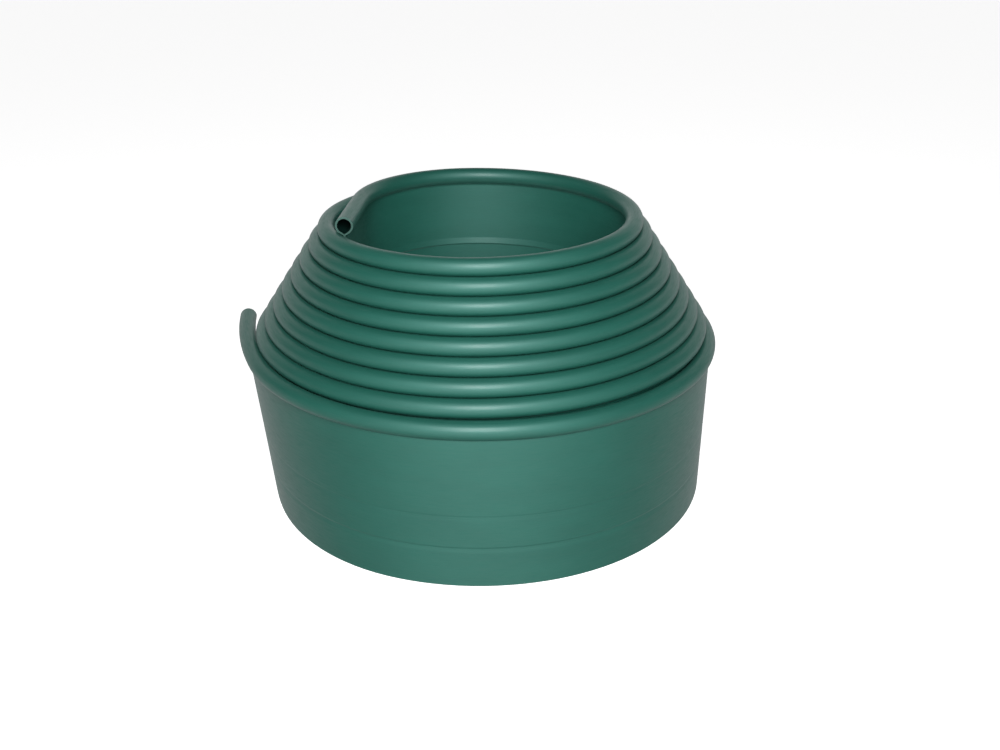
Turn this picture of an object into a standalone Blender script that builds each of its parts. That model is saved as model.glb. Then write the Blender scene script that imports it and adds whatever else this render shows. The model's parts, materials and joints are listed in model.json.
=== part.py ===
"""A roll of bead-top lawn edging, wound as a stepped coil that stands on its lower edge.

The edging is one plastic extrusion: a hollow round bead along the top of a thin web, which
has two barbed ribs on the face that looks into the coil. Every turn of the coil sits up and
in on the bead of the turn outside it. Each turn is modelled as a bead and a web, and so are
the two free ends of the strip. Lengths are in metres and +Z is up. A place along the coil is
given in turns: 0 is at -X, 0.25 at +Y, 0.5 at +X and 0.75 at -Y.
"""

import math
from collections import namedtuple

import bmesh
import bpy

# The extruded section
STRIP_HEIGHT = 0.150
BEAD_RADIUS = 0.008
BORE_RADIUS = 0.0063
WEB_THICKNESS = 0.0014
RIB_DEPTHS = (0.0715, 0.1015)  # from the bead's centre down to each rib's crest
RIB_PROUD = 0.0012
RIB_ABOVE = 0.0045  # how far the rib's two slopes reach above and below its crest
RIB_BELOW = 0.0040
WEB_LEAN = math.radians(1.2)  # the web hangs this far in from upright

# The coil
TURNS = 9
INNER_RADIUS = 0.1339
TURN_SPACING = 0.0088
TURN_DROP = 0.01365

# The outermost turn comes down to the floor and lies a little wide of the spiral
SETTLE_FROM = 8.15
SETTLE_TO = 8.70
FLOOR_DROP = 0.1193
WIDE_FROM = 8.40
WIDE_BY = 0.003

# The outermost web has nothing outside it, and swings out under its bead
SWING_BY = 0.0026
SWING_FROM = 8.05
SWING_TO = 8.45
EASE_FROM = 8.75
SWING_AT_END = 0.0010
SWING_RUN = 0.0040  # the swing is full at this depth under the bead

# The free ends, as arcs that leave the spiral
INNER_END_PLACE = 7 / 32
INNER_END_ARCS = ((0.144, 0.1104), (0.086, 10.0))  # length, then radius
INNER_END_RISE = 0.0085  # metres of rise for each metre of strip
OUTER_END_PLACE = 8 + 30 / 32
OUTER_END_LENGTH = 0.125
OUTER_END_RADIUS = 0.46
OUTER_TIP_LEAN = math.radians(7.4)
LEAN_RUN = 0.300  # the outer end leans in more over this length

# Clearances and facets
GAP = 0.0003
STEPS_PER_TURN = 32
INNER_ARC_STEPS = (5, 3)
OUTER_ARC_STEPS = 6
ROUND_SIDES = 8
SHARP_ANGLE = math.radians(50)

COLLECTION = "lawn_edging_roll"
GREEN = (0.030, 0.158, 0.122)
ROUGHNESS = 0.42

# A point on the bead's centre line, the outward level normal, the web's lean and its swing
Station = namedtuple("Station", "x y z out_x out_y lean swing")


def smooth(t):
    t = min(1.0, max(0.0, t))
    return t * t * (3 - 2 * t)


def coil_angle(place):
    return math.pi - 2 * math.pi * place


def coil_radius(place):
    wide = smooth((place - WIDE_FROM) / (OUTER_END_PLACE - WIDE_FROM))
    return INNER_RADIUS + TURN_SPACING * place + WIDE_BY * wide


def coil_height(place):
    """The bead centre's height under place 0, easing from the spiral's slope to level."""
    if place <= SETTLE_FROM:
        return -TURN_DROP * place
    run = SETTLE_TO - SETTLE_FROM
    t = min(1.0, (place - SETTLE_FROM) / run)
    start = TURN_DROP * SETTLE_FROM
    slope = TURN_DROP * run * (t**3 - 2 * t**2 + t)
    return -(start + slope + (FLOOR_DROP - start) * smooth(t))


def end_lean(to_tip):
    """The web's lean at a distance from the outer tip, measured along the strip."""
    return WEB_LEAN + (OUTER_TIP_LEAN - WEB_LEAN) * smooth(1 - to_tip / LEAN_RUN)


def web_swing(place):
    """How far out the web sits: full along the outermost turn, and less again at its end."""
    out = SWING_BY * smooth((place - SWING_FROM) / (SWING_TO - SWING_FROM))
    eased = smooth((place - EASE_FROM) / (OUTER_END_PLACE - EASE_FROM))
    return out - (SWING_BY - SWING_AT_END) * eased


def coil_station(place):
    angle = coil_angle(place)
    radius = coil_radius(place)
    to_tip = OUTER_END_LENGTH + (OUTER_END_PLACE - place) * 2 * math.pi * radius
    out_x, out_y = math.cos(angle), math.sin(angle)
    return Station(
        radius * out_x,
        radius * out_y,
        coil_height(place),
        out_x,
        out_y,
        end_lean(to_tip),
        web_swing(place),
    )


def turn_stations(start, end):
    """Stations from one place to another, held back at both cuts by half a gap."""
    held_back = GAP / 2 / (2 * math.pi * coil_radius(start))
    even_places = [n / STEPS_PER_TURN for n in range(TURNS * STEPS_PER_TURN)]
    between = [place for place in even_places if start < place < end]
    places = [start + held_back] + between + [end - held_back]
    return [coil_station(place) for place in places]


def arc_stations(start, heading, side, arcs, steps, rise, lean_at):
    """Stations along arcs that turn left, or right if the radius is negative.

    side is +1 where the strip's outward face is on the left of the heading, else -1.
    """
    stations = []
    x, y, z, travelled = start.x, start.y, start.z, 0.0
    for (length, radius), count in zip(arcs, steps):
        for step in range(count + 1):
            along = length * step / count
            if not stations:
                along = GAP / 2
            elif step == 0:
                continue
            turned = heading + along / radius
            at_x = x + radius * (math.sin(turned) - math.sin(heading))
            at_y = y - radius * (math.cos(turned) - math.cos(heading))
            out_x, out_y = -side * math.sin(turned), side * math.cos(turned)
            done = travelled + along
            at_z = z + rise * done
            lean = lean_at(done)
            stations.append(Station(at_x, at_y, at_z, out_x, out_y, lean, start.swing))
        x, y, heading, travelled = at_x, at_y, turned, done
    return stations


def inner_end_stations():
    """The strip's inner end, from the spiral back to the cut end, straighter than the coil."""
    start = coil_station(INNER_END_PLACE)
    heading = coil_angle(INNER_END_PLACE) + math.pi / 2
    lean_at = lambda along: WEB_LEAN
    return arc_stations(
        start, heading, -1, INNER_END_ARCS, INNER_ARC_STEPS, INNER_END_RISE, lean_at
    )


def outer_end_stations():
    """The strip's outer end, sprung away from the roll in a wide arc that turns right."""
    start = coil_station(OUTER_END_PLACE)
    heading = coil_angle(OUTER_END_PLACE) - math.pi / 2
    arcs = ((OUTER_END_LENGTH, -OUTER_END_RADIUS),)
    lean_at = lambda along: end_lean(OUTER_END_LENGTH - along)
    return arc_stations(start, heading, 1, arcs, (OUTER_ARC_STEPS,), 0.0, lean_at)


def circle(radius):
    """Points of a round outline as (outward, up), starting straight down."""
    angles = [2 * math.pi * n / ROUND_SIDES - math.pi / 2 for n in range(ROUND_SIDES)]
    return [(radius * math.cos(angle), radius * math.sin(angle)) for angle in angles]


def web_outline():
    """The web's outline as (outward, up) from the bead's centre, its ribs on the inner face."""
    half = WEB_THICKNESS / 2
    top = -(BEAD_RADIUS + GAP)
    swung = -(BEAD_RADIUS + SWING_RUN)
    bottom = -(STRIP_HEIGHT - BEAD_RADIUS)
    outline = [(-half, top), (-half, swung)]
    for depth in RIB_DEPTHS:
        outline.append((-half, -depth + RIB_ABOVE))
        outline.append((-half - RIB_PROUD, -depth))
        outline.append((-half, -depth - RIB_BELOW))
    outline += [(-half, bottom), (half, bottom), (half, swung), (half, top)]
    return outline


def add_faces_between(mesh, ring, following):
    """Joins two rings of the same number of vertices, vertex to vertex, with quads."""
    for a, b, c, d in zip(ring, ring[1:] + ring[:1], following[1:] + following[:1], following):
        mesh.faces.new((a, b, c, d))


def add_tube_surface(mesh, stations, outline):
    """Sweeps a closed outline along the stations and returns its first and last ring."""
    rings = []
    for s in stations:
        shear = math.tan(s.lean)
        ring = []
        for outward, up in outline:
            hang = max(0.0, -BEAD_RADIUS - up)
            shifted = outward - hang * shear + s.swing * min(1.0, hang / SWING_RUN)
            ring.append(mesh.verts.new((s.x + shifted * s.out_x, s.y + shifted * s.out_y, s.z + up)))
        rings.append(ring)
    for ring, following in zip(rings, rings[1:]):
        add_faces_between(mesh, ring, following)
    return rings[0], rings[-1]


def add_piece(name, mesh, material, collection):
    """Turns a finished bmesh into a named object that is shaded smooth along the strip."""
    bmesh.ops.recalc_face_normals(mesh, faces=mesh.faces)
    data = bpy.data.meshes.new(name)
    mesh.to_mesh(data)
    mesh.free()
    data.materials.append(material)
    data.shade_smooth()
    data.set_sharp_from_angle(angle=SHARP_ANGLE)
    piece = bpy.data.objects.new(name, data)
    collection.objects.link(piece)
    return piece


def make_bead(name, stations, material, collection):
    """A length of the hollow bead: outer wall, bore, and a flat ring at each cut."""
    mesh = bmesh.new()
    outer_ends = add_tube_surface(mesh, stations, circle(BEAD_RADIUS))
    bore_ends = add_tube_surface(mesh, stations, circle(BORE_RADIUS))
    for outer, bore in zip(outer_ends, bore_ends):
        add_faces_between(mesh, outer, bore)
    return add_piece(name, mesh, material, collection)


def make_web(name, stations, material, collection):
    """A length of the web with its ribs, closed by a flat face at each cut."""
    mesh = bmesh.new()
    for ring in add_tube_surface(mesh, stations, web_outline()):
        mesh.faces.new(ring)
    return add_piece(name, mesh, material, collection)


def make_material():
    material = bpy.data.materials.new("edging_green")
    material.use_nodes = True
    shader = material.node_tree.nodes["Principled BSDF"]
    shader.inputs["Base Color"].default_value = (*GREEN, 1)
    shader.inputs["Roughness"].default_value = ROUGHNESS
    shader.inputs["Metallic"].default_value = 0.0
    material.diffuse_color = (*GREEN, 1)
    return material


def stand_on_origin(pieces):
    """Moves every piece so that the origin is under the middle of the roll, on the floor."""
    points = [v.co for piece in pieces for v in piece.data.vertices]
    middle_x = (min(p.x for p in points) + max(p.x for p in points)) / 2
    middle_y = (min(p.y for p in points) + max(p.y for p in points)) / 2
    floor = min(p.z for p in points)
    for piece in pieces:
        for vertex in piece.data.vertices:
            vertex.co.x -= middle_x
            vertex.co.y -= middle_y
            vertex.co.z -= floor


def clear_scene():
    for thing in list(bpy.data.objects):
        bpy.data.objects.remove(thing, do_unlink=True)


def main():
    clear_scene()
    collection = bpy.data.collections.new(COLLECTION)
    bpy.context.scene.collection.children.link(collection)
    edging_green = make_material()

    lengths = {"inner_end": inner_end_stations()}
    for turn in range(1, TURNS + 1):
        start = INNER_END_PLACE if turn == 1 else turn - 1
        end = OUTER_END_PLACE if turn == TURNS else turn
        lengths[f"turn_{turn}"] = turn_stations(start, end)
    lengths["outer_end"] = outer_end_stations()

    pieces = []
    for name, stations in lengths.items():
        pieces.append(make_bead(f"bead_{name}", stations, edging_green, collection))
        pieces.append(make_web(f"web_{name}", stations, edging_green, collection))
    stand_on_origin(pieces)


main()
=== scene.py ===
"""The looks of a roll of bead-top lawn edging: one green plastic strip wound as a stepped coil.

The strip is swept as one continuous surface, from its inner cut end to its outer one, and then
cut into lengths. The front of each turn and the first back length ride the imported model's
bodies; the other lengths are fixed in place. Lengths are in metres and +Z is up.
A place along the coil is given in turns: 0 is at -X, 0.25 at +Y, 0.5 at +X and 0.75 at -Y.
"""

import json
import math
from collections import namedtuple

import bmesh
import bpy
import numpy as np
from mathutils import Matrix, Vector


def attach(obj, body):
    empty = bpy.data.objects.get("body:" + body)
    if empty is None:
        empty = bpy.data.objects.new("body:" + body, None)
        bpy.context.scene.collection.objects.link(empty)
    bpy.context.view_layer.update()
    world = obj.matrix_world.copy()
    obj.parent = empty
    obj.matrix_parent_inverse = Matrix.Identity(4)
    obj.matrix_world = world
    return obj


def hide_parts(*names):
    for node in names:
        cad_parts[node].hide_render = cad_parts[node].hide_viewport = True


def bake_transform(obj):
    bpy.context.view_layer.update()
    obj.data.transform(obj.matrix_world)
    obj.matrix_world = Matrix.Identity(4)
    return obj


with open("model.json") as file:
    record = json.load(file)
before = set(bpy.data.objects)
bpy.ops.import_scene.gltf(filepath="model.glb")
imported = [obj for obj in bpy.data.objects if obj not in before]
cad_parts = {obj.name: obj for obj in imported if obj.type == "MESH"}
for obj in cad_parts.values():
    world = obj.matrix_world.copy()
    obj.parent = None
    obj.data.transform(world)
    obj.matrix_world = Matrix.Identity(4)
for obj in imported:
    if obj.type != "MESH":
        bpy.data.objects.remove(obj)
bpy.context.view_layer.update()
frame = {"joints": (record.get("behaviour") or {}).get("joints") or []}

# The extruded section
STRIP_HEIGHT = 0.150
BEAD_RADIUS = 0.008
BORE_RADIUS = 0.0063
WEB_THICKNESS = 0.0014
RIB_DEPTHS = (0.0715, 0.1015)  # from the bead's centre down to each rib's crest
RIB_PROUD = 0.0012
RIB_ABOVE = 0.0060  # how far the rib's two slopes reach above and below its crest
RIB_BELOW = 0.0017
RIB_ROUND = 0.0005
RIB_SHOULDER = 0.85  # each slope is straight over this share of its reach
NECK_FILLET = 0.0030  # where the web meets the bead, on the turns whose webs hang at rest
SWUNG_FILLET = 0.0005  # and on the outermost turn
FILLET_SIDES = 4
BORE_POINT = math.radians(34)  # the bore narrows to a point within this angle of straight down
EDGE_ROUND = 0.00045
EDGE_SIDES = 3
SINK_MARKS = ((0.0764, 0.00014), (0.1060, 0.00030))  # on the outer face: place, then depth
SINK_ABOVE = 0.0016  # how far a mark reaches above and below its deepest line
SINK_BELOW = 0.0050
SINK_SIDES = 8
WEB_LEAN = math.radians(1.2)  # the web hangs this far in from upright

# The outermost web has nothing outside it, and swings out under its bead
SWING_BY = 0.0026
SWING_FROM = 8.05
SWING_TO = 8.45
EASE_FROM = 8.75
SWING_AT_END = 0.0010

# The coil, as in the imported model
TURNS = 9
INNER_RADIUS = 0.1339
TURN_SPACING = 0.0088
TURN_DROP = 0.01365
SETTLE_FROM = 8.15
SETTLE_TO = 8.70
FLOOR_DROP = 0.1193
WIDE_FROM = 8.40
WIDE_BY = 0.003

# The free ends, as arcs that leave the spiral
INNER_END_PLACE = 7 / 32
INNER_END_ARCS = ((0.144, 0.1104), (0.086, 10.0))  # length, then radius
INNER_END_RISE = 0.0085  # metres of rise for each metre of strip
OUTER_END_PLACE = 8 + 30 / 32
OUTER_END_LENGTH = 0.125
OUTER_END_RADIUS = 0.46
OUTER_TIP_LEAN = math.radians(7.4)
LEAN_RUN = 0.300

# How finely it is drawn
STEPS_PER_TURN = 128
ARC_STEP = 0.0060
BEAD_SIDES = 30
BORE_SIDES = 24

# The places of the materials on each piece
STRIP_MATERIAL = 0
CUT_MATERIAL = 1
BORE_MATERIAL = 2

UV_NAME = "strip"

# A point on the bead's centre line, the outward level normal, the web's lean and its swing
Station = namedtuple("Station", "x y z out_x out_y lean swing")


def smooth(t):
    t = min(1.0, max(0.0, t))
    return t * t * (3 - 2 * t)


# ---------------------------------------------------------------- the line of the strip


def coil_angle(place):
    return math.pi - 2 * math.pi * place


def coil_radius(place):
    wide = smooth((place - WIDE_FROM) / (OUTER_END_PLACE - WIDE_FROM))
    return INNER_RADIUS + TURN_SPACING * place + WIDE_BY * wide


def coil_height(place):
    """The bead centre's height under place 0, easing from the spiral's slope to level."""
    if place <= SETTLE_FROM:
        return -TURN_DROP * place
    run = SETTLE_TO - SETTLE_FROM
    t = min(1.0, (place - SETTLE_FROM) / run)
    start = TURN_DROP * SETTLE_FROM
    slope = TURN_DROP * run * (t**3 - 2 * t**2 + t)
    return -(start + slope + (FLOOR_DROP - start) * smooth(t))


def end_lean(to_tip):
    """The web's lean at a distance from the outer tip, measured along the strip."""
    return WEB_LEAN + (OUTER_TIP_LEAN - WEB_LEAN) * smooth(1 - to_tip / LEAN_RUN)


def web_swing(place):
    """How far out the web sits: full along the outermost turn, and less again at its end."""
    out = SWING_BY * smooth((place - SWING_FROM) / (SWING_TO - SWING_FROM))
    eased = smooth((place - EASE_FROM) / (OUTER_END_PLACE - EASE_FROM))
    return out - (SWING_BY - SWING_AT_END) * eased


def coil_origin():
    """The coil's axis, and the bead centre's height at place 0, from the outer end's hinge."""
    hinge = next(j for j in frame["joints"] if j["name"] == "outer_end_flex")["pos_m"]
    angle = coil_angle(OUTER_END_PLACE)
    reach = coil_radius(OUTER_END_PLACE) + BEAD_RADIUS
    return Vector(
        (
            hinge[0] - reach * math.cos(angle),
            hinge[1] - reach * math.sin(angle),
            STRIP_HEIGHT - BEAD_RADIUS + FLOOR_DROP,
        )
    )


def coil_station(place, origin):
    angle = coil_angle(place)
    radius = coil_radius(place)
    to_tip = OUTER_END_LENGTH + (OUTER_END_PLACE - place) * 2 * math.pi * radius
    out_x, out_y = math.cos(angle), math.sin(angle)
    return Station(
        origin.x + radius * out_x,
        origin.y + radius * out_y,
        origin.z + coil_height(place),
        out_x,
        out_y,
        end_lean(to_tip),
        web_swing(place),
    )


def arc_stations(start, heading, side, arcs, rise, lean_at):
    """Stations beyond a start station, along arcs that turn left, or right if a radius is negative.

    side is +1 where the strip's outward face is on the left of the heading, else -1.
    """
    stations = []
    x, y, z, travelled = start.x, start.y, start.z, 0.0
    for length, radius in arcs:
        count = round(length / ARC_STEP)
        for step in range(1, count + 1):
            along = length * step / count
            turned = heading + along / radius
            at_x = x + radius * (math.sin(turned) - math.sin(heading))
            at_y = y - radius * (math.cos(turned) - math.cos(heading))
            out_x, out_y = -side * math.sin(turned), side * math.cos(turned)
            done = travelled + along
            lean = lean_at(done)
            at_z = z + rise * done
            stations.append(Station(at_x, at_y, at_z, out_x, out_y, lean, start.swing))
        x, y, heading, travelled = at_x, at_y, turned, done
    return stations


def inner_end_stations(origin):
    start = coil_station(INNER_END_PLACE, origin)
    heading = coil_angle(INNER_END_PLACE) + math.pi / 2
    lean_at = lambda along: WEB_LEAN
    return arc_stations(start, heading, -1, INNER_END_ARCS, INNER_END_RISE, lean_at)


def outer_end_stations(origin):
    start = coil_station(OUTER_END_PLACE, origin)
    heading = coil_angle(OUTER_END_PLACE) - math.pi / 2
    arcs = ((OUTER_END_LENGTH, -OUTER_END_RADIUS),)
    lean_at = lambda along: end_lean(OUTER_END_LENGTH - along)
    return arc_stations(start, heading, 1, arcs, 0.0, lean_at)


# ---------------------------------------------------------------- the section


class Outline:
    """A closed outline of (outward, up) points, each with its normal."""

    def __init__(self):
        self.points = []
        self.normals = []

    def add(self, point, normal):
        self.points.append(point)
        self.normals.append(normal)

    def add_arc(self, centre, radius, start, end, sides, hollow=False):
        """Adds an arc from one angle to another. The normals of a hollow one face its centre."""
        for n in range(sides + 1):
            angle = start + (end - start) * n / sides
            normal = (math.cos(angle), math.sin(angle))
            self.add((centre[0] + radius * normal[0], centre[1] + radius * normal[1]), normal)
            if hollow:
                self.normals[-1] = (-normal[0], -normal[1])


def bead_and_web(swing, fillet):
    """The outline of the whole strip, from the web's lower edge up its outer face and round."""
    outer_face = swing + WEB_THICKNESS / 2
    inner_face = swing - WEB_THICKNESS / 2
    bottom = -(STRIP_HEIGHT - BEAD_RADIUS) + EDGE_ROUND
    outline = Outline()
    outline.add_arc((outer_face - EDGE_ROUND, bottom), EDGE_ROUND, -math.pi / 2, 0, EDGE_SIDES)
    for place, sink in reversed(SINK_MARKS):
        add_sink_mark(outline, outer_face, -place, sink)
    neck = fillet_centre(outer_face + fillet, fillet)
    first = math.atan2(neck[1], neck[0])
    outline.add_arc(neck, fillet, math.pi, first + math.pi, FILLET_SIDES, hollow=True)
    neck = fillet_centre(inner_face - fillet, fillet)
    last = math.atan2(neck[1], neck[0]) + 2 * math.pi
    outline.add_arc((0, 0), BEAD_RADIUS, first, last, BEAD_SIDES)
    outline.add_arc(neck, fillet, last - math.pi, 0, FILLET_SIDES, hollow=True)
    for depth in RIB_DEPTHS:
        add_rib(outline, inner_face, -depth)
    lower_corner = (inner_face + EDGE_ROUND, bottom)
    outline.add_arc(lower_corner, EDGE_ROUND, math.pi, 1.5 * math.pi, EDGE_SIDES)
    return outline


def fillet_centre(across, fillet):
    """The centre of a fillet that touches the bead, from how far out it is."""
    return (across, -math.sqrt((BEAD_RADIUS + fillet) ** 2 - across**2))


def add_sink_mark(outline, face, height, sink):
    """A hollow across the outer face, shallow below and steep above, added from its lower edge."""
    for n in range(SINK_SIDES + 1):
        t = 2 * n / SINK_SIDES - 1
        reach = SINK_BELOW if t < 0 else SINK_ABOVE
        depth = sink * (0.5 + 0.5 * math.cos(math.pi * t))
        slope = sink * 0.5 * math.pi * math.sin(math.pi * t) / reach
        length = math.hypot(1, slope)
        outline.add((face - depth, height + reach * t), (1 / length, -slope / length))


def add_rib(outline, face, crest):
    """A rounded rib on the inner face, added from its top down."""
    above = math.atan2(RIB_PROUD, RIB_ABOVE)
    below = math.atan2(RIB_PROUD, RIB_BELOW)
    on_top = (-math.cos(above), math.sin(above))
    underneath = (-math.cos(below), -math.sin(below))
    shoulder = face - 0.1 * RIB_PROUD
    outline.add((face, crest + RIB_ABOVE + RIB_ROUND), (-1, 0))
    outline.add((shoulder, crest + RIB_SHOULDER * RIB_ABOVE), on_top)
    rib_tip = (face - RIB_PROUD + RIB_ROUND, crest)
    outline.add_arc(rib_tip, RIB_ROUND, math.pi - above, math.pi + below, 4)
    outline.add((shoulder, crest - RIB_SHOULDER * RIB_BELOW), underneath)
    outline.add((face, crest - RIB_BELOW - 0.5 * RIB_ROUND), (-1, 0))


def bore():
    """The bead's bore, drawn down to a point over the web, with normals into the hole."""
    outline = Outline()
    for n in range(BORE_SIDES):
        turned = math.pi * (2 * n / BORE_SIDES - 1)  # from straight down, so 0 is the point
        angle = turned - math.pi / 2
        radius = BORE_RADIUS
        if abs(turned) < BORE_POINT:
            radius /= math.cos(BORE_POINT - abs(turned))
        point = (radius * math.cos(angle), radius * math.sin(angle))
        outline.add(point, (-math.cos(angle), -math.sin(angle)))
    return outline


# ---------------------------------------------------------------- the swept surface


class Surface:
    """An outline swept along every station: points and normals in the shape (station, side, 3).

    The outline passes from one shape to another as the stations' swing goes from 0 to full.
    """

    def __init__(self, stations, at_rest, swung):
        table = np.array(stations)
        swing = (table[:, 6] / SWING_BY)[:, None, None]
        shape = (1 - swing) * np.array(at_rest.points) + swing * np.array(swung.points)
        facing = (1 - swing) * np.array(at_rest.normals) + swing * np.array(swung.normals)
        out = np.column_stack([table[:, 3:5], np.zeros(len(table))])
        shear = np.tan(table[:, 5])
        hang = np.minimum(0.0, shape[..., 1] + BEAD_RADIUS)
        across = shape[..., 0] + shear[:, None] * hang
        self.points = table[:, None, 0:3] + across[..., None] * out[:, None, :]
        self.points[..., 2] += shape[..., 1]

        face_out = facing[..., 0]
        face_up = facing[..., 1] - shear[:, None] * (hang < 0) * face_out
        up = np.array([0.0, 0.0, 1.0])
        round_section = face_out[..., None] * up - face_up[..., None] * out[:, None, :]
        along = np.gradient(self.points, axis=0)
        normals = np.cross(along, round_section)
        normals /= np.linalg.norm(normals, axis=2, keepdims=True)
        wanted = face_out[..., None] * out[:, None, :] + face_up[..., None] * up
        flip = np.sign(np.sum(normals * wanted, axis=2, keepdims=True))
        self.normals = normals * flip

        steps = np.linalg.norm(np.diff(table[:, 0:3], axis=0), axis=1)
        self.along = np.concatenate([[0.0], np.cumsum(steps)])
        outline = np.array(at_rest.points)
        sides = np.linalg.norm(np.roll(outline, -1, axis=0) - outline, axis=1)
        self.around = np.concatenate([[0.0], np.cumsum(sides)])


def add_wall(mesh, uv, surface, first, last, slot):
    """Adds the part of a surface between two stations, and returns its vertex rings."""
    rings = []
    for station in range(first, last + 1):
        rings.append([mesh.verts.new(p) for p in surface.points[station]])
    count = len(rings[0])
    for n, (ring, following) in enumerate(zip(rings, rings[1:])):
        here, there = surface.along[first + n], surface.along[first + n + 1]
        for k in range(count):
            after = (k + 1) % count
            face = mesh.faces.new((ring[k], following[k], following[after], ring[after]))
            face.material_index = slot
            low, high = surface.around[k], surface.around[k + 1]
            corners = ((here, low), (there, low), (there, high), (here, high))
            for loop, at in zip(face.loops, corners):
                loop[uv].uv = at
    return rings


def add_cap(mesh, uv, rings, along):
    """Fills the section between the outline and the bore with flat triangles.

    At the last end of a length the fill fails round the bore, and leaves that end open.
    """
    edges = []
    for ring in rings:
        for a, b in zip(ring, ring[1:] + ring[:1]):
            edges.append(mesh.edges.get((a, b)))
    made = bmesh.ops.triangle_fill(mesh, use_beauty=True, use_dissolve=False, edges=edges)
    faces = [f for f in made["geom"] if isinstance(f, bmesh.types.BMFace)]
    for face in faces:
        face.material_index = CUT_MATERIAL
        for loop in face.loops:
            loop[uv].uv = (along + loop.vert.co.z, loop.vert.co.x + loop.vert.co.y)
    return edges


def make_length(name, surfaces, first, last, materials):
    """One length of the strip, shaded as part of the whole."""
    mesh = bmesh.new()
    uv = mesh.loops.layers.uv.new(UV_NAME)
    walls = [
        add_wall(mesh, uv, surface, first, last, slot)
        for surface, slot in zip(surfaces, (STRIP_MATERIAL, BORE_MATERIAL))
    ]
    normals = np.concatenate(
        [s.normals[first : last + 1].reshape(-1, 3) for s in surfaces]
    )
    rims = []
    for end, at in ((0, first), (-1, last)):
        rims += add_cap(mesh, uv, [wall[end] for wall in walls], surfaces[0].along[at])
    for edge in rims:
        edge.smooth = False
    bmesh.ops.recalc_face_normals(mesh, faces=mesh.faces)
    data = bpy.data.meshes.new(name)
    mesh.to_mesh(data)
    mesh.free()
    for material in materials:
        data.materials.append(material)
    shade_as_swept(data, normals)
    piece = bpy.data.objects.new(name, data)
    bpy.context.scene.collection.objects.link(piece)
    return piece


def shade_as_swept(data, normals):
    """Gives the walls the swept normals, so no cut between lengths shows. The caps stay flat."""
    corners = np.zeros(len(data.loops), np.int32)
    data.loops.foreach_get("vertex_index", corners)
    corner_normals = normals[corners]
    for polygon in data.polygons:
        if polygon.material_index == CUT_MATERIAL:
            start = polygon.loop_start
            corner_normals[start : start + polygon.loop_total] = polygon.normal
    data.shade_smooth()
    data.normals_split_custom_set(corner_normals)


# ---------------------------------------------------------------- materials

GREEN_DEEP = (0.003, 0.084, 0.058, 1)
GREEN_PALE = (0.005, 0.100, 0.070, 1)
GREEN_LINE = (0.007, 0.106, 0.075, 1)
GREEN_SCUFF = (0.070, 0.160, 0.135, 1)
CUT_DEEP = (0.035, 0.100, 0.080, 1)
CUT_PALE = (0.070, 0.165, 0.140, 1)
# The bore's two colours are painted shade: near black, for the dark inside of the hole.
BORE_PAINTED_SHADE_DEEP = (0.001, 0.014, 0.011, 1)
BORE_PAINTED_SHADE_PALE = (0.002, 0.020, 0.016, 1)
SHEEN_TINT = (0.48, 0.88, 0.83, 1)

# The size of each pattern's features, in metres along the strip and around its section
CLOUDS = (0.060, 0.020)
LINES = (0.250, 0.0011)
GRAIN = (0.0012, 0.0010)
SCUFFS = (0.0140, 0.0009)
SAW_LINES = (0.0004, 0.006)

# How deep each pattern is cut into the surface
LINE_DEPTH = 0.00003
SCUFF_DEPTH = 0.00005
GRAIN_DEPTH = 0.00003
SAW_DEPTH = 0.00004

ROUGH_LOW = 0.58
ROUGH_HIGH = 0.65
WORN_ROUGHER = 0.12
COAT_LEAST = 0.35
COAT_MOST = 0.90


class Nodes:
    """A small helper for building a node tree."""

    def __init__(self, tree):
        self.tree = tree

    def add(self, kind, settings=None, inputs=None):
        node = self.tree.nodes.new(kind)
        for name, value in (settings or {}).items():
            setattr(node, name, value)
        for name, value in (inputs or {}).items():
            if isinstance(value, bpy.types.NodeSocket):
                self.tree.links.new(value, node.inputs[name])
            else:
                node.inputs[name].default_value = value
        return node

    def noise(self, vector, scale, detail=2.0, roughness=0.5):
        inputs = {"Vector": vector, "Scale": scale, "Detail": detail, "Roughness": roughness}
        return self.add("ShaderNodeTexNoise", inputs=inputs).outputs["Fac"]

    def strip_noise(self, strip, size, detail=2.0, roughness=0.6):
        """Noise on the strip's coordinates, whose features have a size along it and around it."""
        inputs = {"Vector": strip, "Scale": (1 / size[0], 1 / size[1], 1)}
        stretched = self.add("ShaderNodeMapping", inputs=inputs).outputs["Vector"]
        return self.noise(stretched, 1.0, detail, roughness)

    def ramp(self, value, low, high, to_low, to_high):
        inputs = {
            "Value": value,
            "From Min": low,
            "From Max": high,
            "To Min": to_low,
            "To Max": to_high,
        }
        return self.add("ShaderNodeMapRange", inputs=inputs).outputs["Result"]

    def mix(self, factor, a, b):
        node = self.add("ShaderNodeMix", settings={"data_type": "RGBA"})
        sockets = {s.identifier: s for s in node.inputs}
        for name, value in (("Factor_Float", factor), ("A_Color", a), ("B_Color", b)):
            if isinstance(value, bpy.types.NodeSocket):
                self.tree.links.new(value, sockets[name])
            else:
                sockets[name].default_value = value
        return next(s for s in node.outputs if s.identifier == "Result_Color")

    def math(self, operation, a, b):
        return self.add("ShaderNodeMath", {"operation": operation}, {0: a, 1: b}).outputs[0]

    def bands(self, value, stops):
        """Passes through (value, grey level) stops, for a value that lies between -1 and 1."""
        place = self.ramp(value, -1, 1, 0, 1)
        node = self.add("ShaderNodeValToRGB", inputs={"Fac": place})
        elements = node.color_ramp.elements
        elements[0].color = (*[stops[0][1]] * 3, 1)
        elements[1].color = (*[stops[-1][1]] * 3, 1)
        for at, level in stops:
            elements.new((at + 1) / 2).color = (level, level, level, 1)
        return node.outputs["Color"]

    def bump(self, height, distance, normal=None):
        inputs = {"Height": height, "Distance": distance, "Strength": 1.0}
        if normal is not None:
            inputs["Normal"] = normal
        return self.add("ShaderNodeBump", inputs=inputs).outputs["Normal"]


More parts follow.
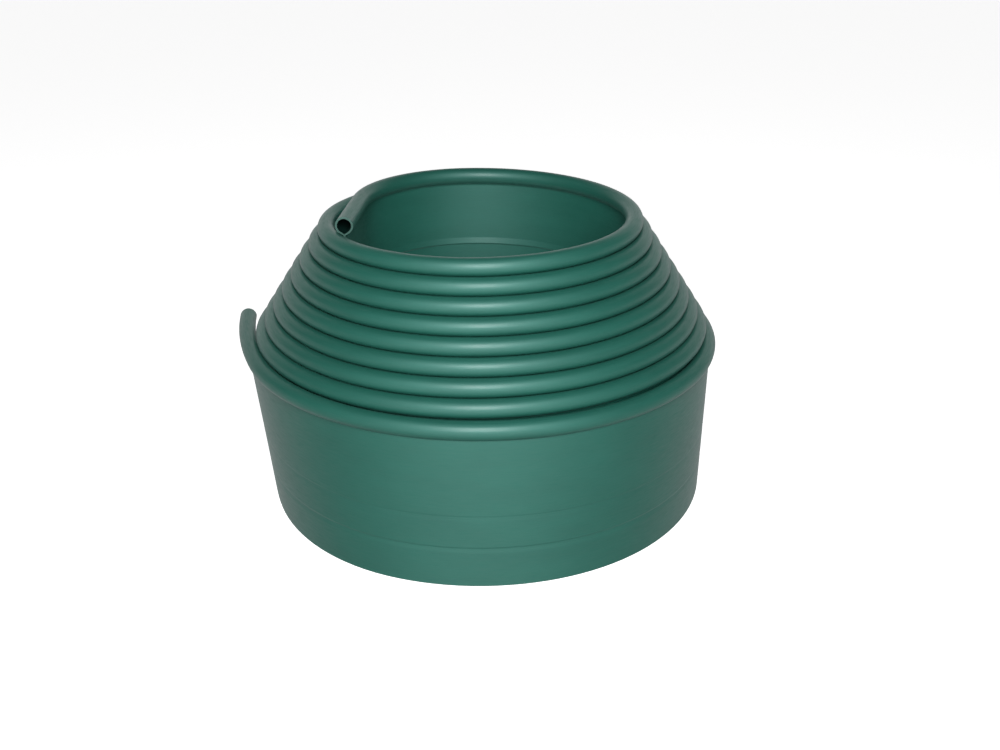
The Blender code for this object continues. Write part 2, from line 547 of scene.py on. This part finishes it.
def new_material(name):
    material = bpy.data.materials.new(name)
    material.use_nodes = True
    nodes = Nodes(material.node_tree)
    return material, nodes, material.node_tree.nodes["Principled BSDF"]


def make_plastic():
    """Satin polyethylene: cloudy green, fine lines along the extrusion, grain and faint scuffs."""
    material, nodes, shader = new_material("edging_plastic")
    strip = nodes.add("ShaderNodeUVMap", settings={"uv_map": UV_NAME}).outputs["UV"]
    clouds = nodes.strip_noise(strip, CLOUDS, detail=3.0, roughness=0.55)
    lines = nodes.strip_noise(strip, LINES)
    grain = nodes.strip_noise(strip, GRAIN)
    scuffs = nodes.strip_noise(strip, SCUFFS, detail=4.0, roughness=0.65)

    green = nodes.mix(nodes.ramp(clouds, 0.3, 0.7, 0, 1), GREEN_DEEP, GREEN_PALE)
    lined = nodes.mix(nodes.ramp(lines, 0.35, 0.75, 0, 0.35), green, GREEN_LINE)
    scuffed = nodes.mix(nodes.ramp(scuffs, 0.64, 0.80, 0, 0.35), lined, GREEN_SCUFF)
    nodes.tree.links.new(scuffed, shader.inputs["Base Color"])

    worn = nodes.ramp(scuffs, 0.5, 0.8, 0, WORN_ROUGHER)
    satin = nodes.ramp(lines, 0.3, 0.7, ROUGH_LOW, ROUGH_HIGH)
    nodes.tree.links.new(nodes.math("ADD", satin, worn), shader.inputs["Roughness"])

    lined_normal = nodes.bump(lines, LINE_DEPTH)
    scuffed_normal = nodes.bump(scuffs, SCUFF_DEPTH, lined_normal)
    grained_normal = nodes.bump(grain, GRAIN_DEPTH, scuffed_normal)
    nodes.tree.links.new(grained_normal, shader.inputs["Normal"])

    sheen = nodes.ramp(scuffs, 0.35, 0.65, COAT_LEAST, COAT_MOST)
    nodes.tree.links.new(sheen, shader.inputs["Coat Weight"])
    shader.inputs["IOR"].default_value = 2.0
    shader.inputs["Specular IOR Level"].default_value = 0.57
    shader.inputs["Specular Tint"].default_value = SHEEN_TINT
    shader.inputs["Coat IOR"].default_value = 1.35
    shader.inputs["Coat Roughness"].default_value = 0.34
    return material


def make_cut_plastic():
    """A sawn end: paler, matt, with fine saw lines."""
    material, nodes, shader = new_material("edging_cut")
    place = nodes.add("ShaderNodeUVMap", settings={"uv_map": UV_NAME}).outputs["UV"]
    saw = nodes.strip_noise(place, SAW_LINES)
    pale = nodes.mix(nodes.ramp(saw, 0.3, 0.7, 0, 1), CUT_DEEP, CUT_PALE)
    nodes.tree.links.new(pale, shader.inputs["Base Color"])
    nodes.tree.links.new(nodes.ramp(saw, 0.3, 0.7, 0.5, 0.65), shader.inputs["Roughness"])
    nodes.tree.links.new(nodes.bump(saw, SAW_DEPTH), shader.inputs["Normal"])
    return material


def make_bore_painted_shade():
    """The bore's wall, drawn smooth, in painted shade: near black with little gloss, for the unlit
    inside of the hole.
    """
    material, nodes, shader = new_material("edging_bore_painted_shade")
    strip = nodes.add("ShaderNodeUVMap", settings={"uv_map": UV_NAME}).outputs["UV"]
    lines = nodes.strip_noise(strip, LINES)
    # Painted shade: a near-black green stands in for the hole's dark inside.
    green = nodes.mix(nodes.ramp(lines, 0.3, 0.7, 0, 1), BORE_PAINTED_SHADE_DEEP, BORE_PAINTED_SHADE_PALE)
    nodes.tree.links.new(green, shader.inputs["Base Color"])
    nodes.tree.links.new(nodes.ramp(lines, 0.3, 0.7, 0.55, 0.65), shader.inputs["Roughness"])
    nodes.tree.links.new(nodes.bump(lines, LINE_DEPTH), shader.inputs["Normal"])
    shader.inputs["Specular IOR Level"].default_value = 0.2
    return material


# ---------------------------------------------------------------- the pieces

INNER_BEND = 0.075  # the reach of each free end's bend span from its hinge; the ends are not bent here
OUTER_BEND = 0.050


def end_bend(place, side, origin, reach):
    """Where a free end's bend starts and ends. side is +1 for the inner end, else -1."""
    hinge = coil_station(place, origin)
    heading = coil_angle(place) + side * math.pi / 2
    start = Vector((hinge.x, hinge.y, hinge.z))
    return start, start + Vector((math.cos(heading), math.sin(heading), 0)) * reach


def build_pieces():
    origin = coil_origin()
    inner = inner_end_stations(origin)
    first_place = round(INNER_END_PLACE * STEPS_PER_TURN)
    last_place = round(OUTER_END_PLACE * STEPS_PER_TURN)
    coil = [coil_station(n / STEPS_PER_TURN, origin) for n in range(first_place, last_place + 1)]
    stations = inner[::-1] + coil + outer_end_stations(origin)
    at_rest = bead_and_web(0.0, NECK_FILLET)
    strip_wall = Surface(stations, at_rest, bead_and_web(SWING_BY, SWUNG_FILLET))
    bore_wall = Surface(stations, bore(), bore())
    surfaces = [strip_wall, bore_wall]
    materials = [make_plastic(), make_cut_plastic(), make_bore_painted_shade()]

    def index(place):
        return len(inner) + round(place * STEPS_PER_TURN) - first_place

    def length(name, start, end, *nodes):
        piece = make_length(name, surfaces, start, end, materials)
        if nodes:
            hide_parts(*nodes)
        return piece

    def body(turn):
        return "outer_turn" if turn == TURNS else f"turn_{turn}"

    for turn in range(1, TURNS + 1):
        end = OUTER_END_PLACE if turn == TURNS else turn
        nodes = (f"bead_turn_{turn}", f"web_turn_{turn}")
        front = length(f"strip_front_{turn}", index(turn - 0.5), index(end), *nodes)
        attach(front, body(turn))
    for turn in range(1, TURNS):
        back = length(f"strip_back_{turn}", index(turn), index(turn + 0.5))
        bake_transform(back)
    first_back = length("strip_back_0", index(INNER_END_PLACE), index(0.5))
    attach(first_back, "turn_1")

    nodes = ("bead_inner_end", "web_inner_end")
    inner_tip = length("strip_inner_end", 0, index(INNER_END_PLACE), *nodes)
    start, end = end_bend(INNER_END_PLACE, 1, origin, INNER_BEND)
    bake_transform(inner_tip)

    nodes = ("bead_outer_end", "web_outer_end")
    outer_tip = length("strip_outer_end", index(OUTER_END_PLACE), len(stations) - 1, *nodes)
    start, end = end_bend(OUTER_END_PLACE, -1, origin, OUTER_BEND)
    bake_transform(outer_tip)


# ---------------------------------------------------------------- floor, light and camera

FLOOR_HALF = 40.0
FLOOR_LOW = (0.90, 0.90, 0.90, 1)
FLOOR_HIGH = (0.93, 0.93, 0.93, 1)
FLOOR_GLOW = 0.85

KEY_PLACE = Vector((0.009, -1.22, 0.88))
KEY_AIM = Vector((0.009, 0.0, 0.15))
KEY_WIDTH = 0.36
KEY_HEIGHT = 0.85
KEY_POWER = 20.5

# The glow of the studio as (direction, level) stops. A height runs from -1 straight down to 1
# straight up, and a depth from -1 at the front to 1 behind the roll. The two are multiplied.
FLOOR_HEIGHTS = ((-0.999, 0.85), (-0.02, 0.85), (0.10, 0.14), (0.25, 0.02), (0.999, 0.02))
FLOOR_DEPTHS = ((-0.999, 1.6), (-0.55, 0.35), (-0.10, 0.25), (0.20, 0.7), (0.999, 0.7))
BACKDROP_HEIGHTS = ((-0.05, 0.0), (0.05, 0.76), (0.50, 0.76), (0.65, 0.0))
BACKDROP_DEPTHS = ((0.45, 0.0), (0.75, 1.0))

CAMERA_TARGET = Vector((0.00868, 0.0033, 0.15988))
CAMERA_PLACE = Vector((0.00868, -0.97284, 0.53127))
CAMERA_ROLL = math.radians(-0.32)
CAMERA_LENS = 39.64
CAMERA_SHIFT = (0.0195, -0.0638)


def make_floor():
    mesh = bmesh.new()
    bmesh.ops.create_grid(mesh, x_segments=2, y_segments=2, size=FLOOR_HALF)
    data = bpy.data.meshes.new("floor")
    mesh.to_mesh(data)
    mesh.free()
    material, nodes, shader = new_material("floor_paper")
    place = nodes.add("ShaderNodeNewGeometry").outputs["Position"]
    tooth = nodes.noise(place, 60.0, 2.0)
    shade = nodes.mix(nodes.ramp(tooth, 0.3, 0.7, 0, 1), FLOOR_LOW, FLOOR_HIGH)
    nodes.tree.links.new(shade, shader.inputs["Base Color"])
    shader.inputs["Roughness"].default_value = 0.9
    shader.inputs["Specular IOR Level"].default_value = 0.1
    shader.inputs["Emission Color"].default_value = (1, 1, 1, 1)
    shader.inputs["Emission Strength"].default_value = FLOOR_GLOW
    data.materials.append(material)
    floor = bpy.data.objects.new("floor", data)
    floor.location.z = -0.0003
    floor.visible_diffuse = False
    floor.visible_glossy = False
    bpy.context.scene.collection.objects.link(floor)


def make_key():
    """A large soft lamp in front of the roll and above it."""
    light = bpy.data.lights.new("key", "AREA")
    light.shape = "RECTANGLE"
    light.size = KEY_WIDTH
    light.size_y = KEY_HEIGHT
    light.energy = KEY_POWER
    lamp = bpy.data.objects.new("key", light)
    lamp.location = KEY_PLACE
    lamp.rotation_euler = (KEY_PLACE - KEY_AIM).to_track_quat("Z", "Y").to_euler()
    bpy.context.scene.collection.objects.link(lamp)


def make_world():
    """A pale studio: a bright floor and backdrop, with darker sides and a dark ceiling.

    Seen directly it is white all round.
    """
    world = bpy.data.worlds.new("studio")
    world.use_nodes = True
    bpy.context.scene.world = world
    nodes = Nodes(world.node_tree)
    background = world.node_tree.nodes["Background"]
    background.inputs["Color"].default_value = (1, 1, 1, 1)
    direction = nodes.add("ShaderNodeTexCoord").outputs["Generated"]
    axes = nodes.add("ShaderNodeSeparateXYZ", inputs={0: direction})
    floor = nodes.math(
        "MULTIPLY",
        nodes.bands(axes.outputs["Z"], FLOOR_HEIGHTS),
        nodes.bands(axes.outputs["Y"], FLOOR_DEPTHS),
    )
    backdrop = nodes.math(
        "MULTIPLY",
        nodes.bands(axes.outputs["Z"], BACKDROP_HEIGHTS),
        nodes.bands(axes.outputs["Y"], BACKDROP_DEPTHS),
    )
    seen = nodes.add("ShaderNodeLightPath").outputs["Is Camera Ray"]
    lit = nodes.math("MAXIMUM", nodes.math("ADD", floor, backdrop), seen)
    nodes.tree.links.new(lit, background.inputs["Strength"])


def make_camera():
    data = bpy.data.cameras.new("camera")
    data.sensor_width = 36.0
    data.lens = CAMERA_LENS
    data.shift_x, data.shift_y = CAMERA_SHIFT
    data.clip_start = 0.01
    data.clip_end = 200.0
    camera = bpy.data.objects.new("camera", data)
    back = (CAMERA_PLACE - CAMERA_TARGET).normalized()
    turn = back.to_track_quat("Z", "Y").to_matrix().to_4x4()
    roll = Matrix.Rotation(CAMERA_ROLL, 4, "Z")
    camera.matrix_world = Matrix.Translation(CAMERA_PLACE) @ turn @ roll
    bpy.context.scene.collection.objects.link(camera)
    bpy.context.scene.camera = camera


def set_colour_management():
    view = bpy.context.scene.view_settings
    view.view_transform = "Standard"
    view.look = "None"
    view.exposure = 0.0
    view.gamma = 1.0


build_pieces()
make_floor()
make_key()
make_world()
make_camera()
set_colour_management()
